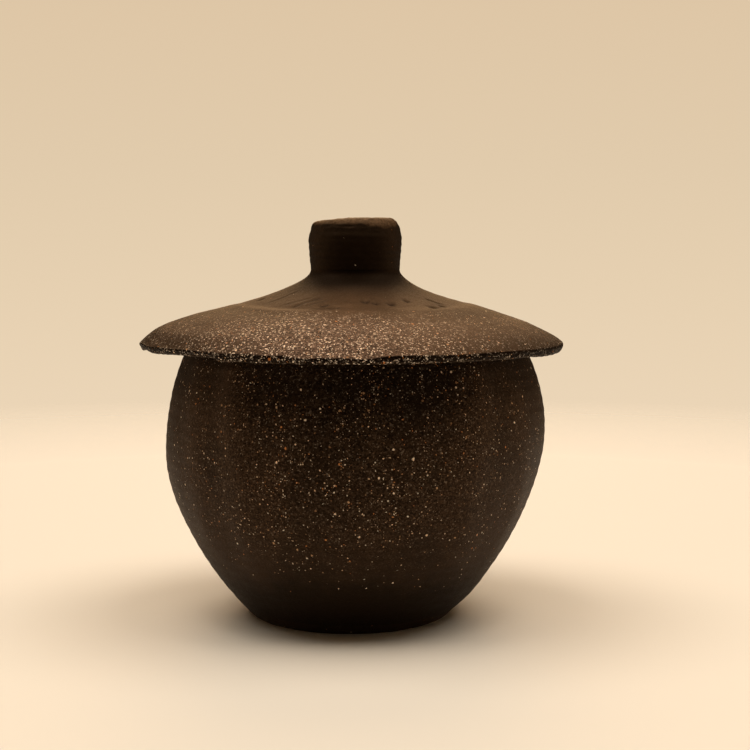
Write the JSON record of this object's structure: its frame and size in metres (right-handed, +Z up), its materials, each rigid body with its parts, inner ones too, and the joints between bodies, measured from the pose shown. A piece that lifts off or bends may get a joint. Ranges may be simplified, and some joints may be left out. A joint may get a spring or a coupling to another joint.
{
  "type": "go stone bowl",
  "caption": "Round-bellied unglazed stoneware bowl for go stones, with an overhanging conical lid that lifts off by a short cylindrical knob.",
  "frame": {"origin": "on the surface the bowl stands on, under the centre of its foot", "axes": "+Z up along the common axis of the bowl, lid and knob; +X and +Y are any two level directions at right angles"},
  "size_m": [0.145, 0.145, 0.1364],
  "materials": {
    "bowl_clay": "matte",
    "lid_clay": "matte"
  },
  "bodies": {
    "bowl": {"bowl_body": "bowl_clay"},
    "lid": {"lid_cap": "lid_clay", "lid_flange": "lid_clay", "lid_knob": "lid_clay"}
  },
  "joints": [
    {"name": "lid_lift", "type": "slide", "parent": "bowl", "child": "lid", "axis": [0, 0, 1], "range_m": [0, 0.12]}
  ]
}
